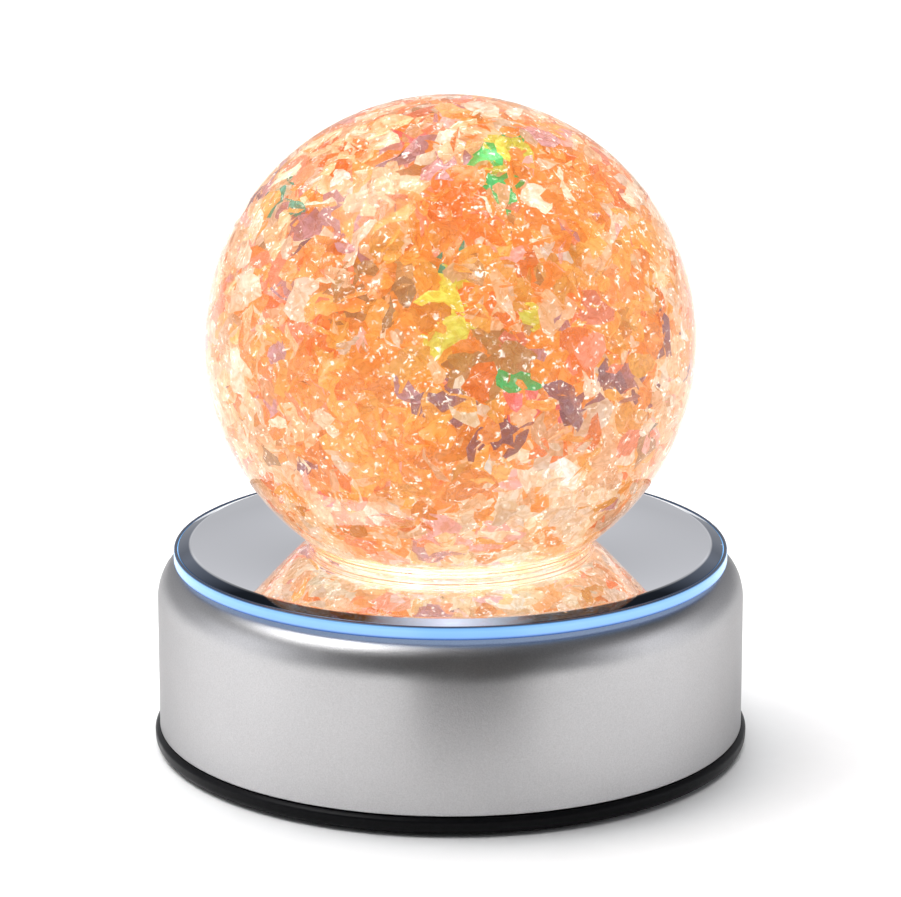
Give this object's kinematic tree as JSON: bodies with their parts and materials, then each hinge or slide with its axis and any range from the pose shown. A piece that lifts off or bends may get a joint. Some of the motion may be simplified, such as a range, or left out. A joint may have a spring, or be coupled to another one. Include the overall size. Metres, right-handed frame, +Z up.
{
  "type": "lighted turntable flake globe",
  "caption": "Clear globe of orange film flakes standing on a round lighted mirror turntable with a blue glowing edge, for a desk or shelf.",
  "frame": {"origin": "centre of the footprint, on the surface the stand rests on", "axes": "+Z up along the turntable axis, -Y towards the viewer"},
  "size_m": [0.11, 0.11, 0.1205],
  "materials": {
    "satin_silver": "satin, fine sand grain",
    "gloss_black": "gloss",
    "matt_black": "matte",
    "blue_acrylic": "translucent, lit from below",
    "mirror_silver": "polished",
    "clear_lens": "clear",
    "globe_clear": "clear",
    "orange_flake": "iridescent film flakes in clear gel",
    "white_plastic": "matte",
    "gear_nylon": "satin",
    "board_white": "satin",
    "board_green": "satin",
    "cell_sleeve": "gloss",
    "contact_brass": "bright",
    "foot_rubber": "matte",
    "lamp_white": "lit",
    "lamp_blue": "lit",
    "bright_steel": "bright"
  },
  "bodies": {
    "base": {"axle_clip": "bright_steel", "bottom_tray": "gloss_black", "casing": "satin_silver", "cell_1": "cell_sleeve", "cell_2": "cell_sleeve", "cell_3": "cell_sleeve", "centre_lamp": "lamp_white", "chassis_plate": "matt_black", "chassis_screw_1": "bright_steel", "chassis_screw_2": "bright_steel", "chassis_screw_3": "bright_steel", "chassis_screw_4": "bright_steel", "contact_strip_1": "contact_brass", "contact_strip_2": "contact_brass", "contact_strip_3": "contact_brass", "contact_strip_4": "contact_brass", "control_board": "board_green", "control_chip": "matt_black", "edge_lamp_1": "lamp_blue", "edge_lamp_2": "lamp_blue", "edge_lamp_3": "lamp_blue", "edge_lamp_4": "lamp_blue", "edge_light_board": "board_white", "gear_axle": "bright_steel", "light_board": "board_white", "light_tower": "white_plastic", "motor_can": "bright_steel", "outer_lamp_1": "lamp_white", "outer_lamp_2": "lamp_white", "outer_lamp_3": "lamp_white", "outer_lamp_4": "lamp_white", "outer_lamp_5": "lamp_white", "outer_lamp_6": "lamp_white", "power_jack": "matt_black", "rubber_foot_1": "foot_rubber", "rubber_foot_2": "foot_rubber", "rubber_foot_3": "foot_rubber", "rubber_foot_4": "foot_rubber", "switch_body": "bright_steel", "thrust_washer": "gear_nylon", "tray_screw_1": "bright_steel", "tray_screw_2": "bright_steel", "tray_screw_3": "bright_steel", "tray_screw_4": "bright_steel"},
    "turntable": {"turntable_disc": "blue_acrylic", "turntable_gear": "gear_nylon", "mirror": "mirror_silver", "window_lens": "clear_lens", "hub_screw_1": "bright_steel", "hub_screw_2": "bright_steel", "hub_screw_3": "bright_steel"},
    "globe": {"globe_shell": "globe_clear", "flake_filling": "orange_flake", "filler_stopper": "globe_clear"},
    "compound_gear": {"compound_gear": "gear_nylon"},
    "motor_rotor": {"motor_shaft": "bright_steel", "motor_pinion": "contact_brass"},
    "switch_knob": {"switch_knob": "matt_black"},
    "battery_door": {"battery_door": "gloss_black"}
  },
  "joints": [
    {"name": "turntable_spin", "type": "hinge", "parent": "base", "child": "turntable", "pos_m": [0, 0, 0.035], "axis": [0, 0, 1], "continuous": true},
    {"name": "globe_lift", "type": "slide", "parent": "turntable", "child": "globe", "axis": [0, 0, 1], "range_m": [0, 0.04]},
    {"name": "compound_spin", "type": "hinge", "parent": "base", "child": "compound_gear", "pos_m": [-0.01153, 0.03167, 0.024], "axis": [0, 0, 1], "continuous": true},
    {"name": "motor_spin", "type": "hinge", "parent": "base", "child": "motor_rotor", "pos_m": [0.00352, 0.03298, 0.019], "axis": [0, 0, 1], "continuous": true},
    {"name": "switch_slide", "type": "slide", "parent": "base", "child": "switch_knob", "axis": [-0.7431, -0.6691, 0], "range_m": [0, 0.004]},
    {"name": "door_slide", "type": "slide", "parent": "base", "child": "battery_door", "axis": [0, -1, 0], "range_m": [0, 0.006]}
  ],
  "couplings": [
    {"joint": "compound_spin", "follows": "turntable_spin", "ratio": -6},
    {"joint": "motor_spin", "follows": "turntable_spin", "ratio": 24}
  ]
}
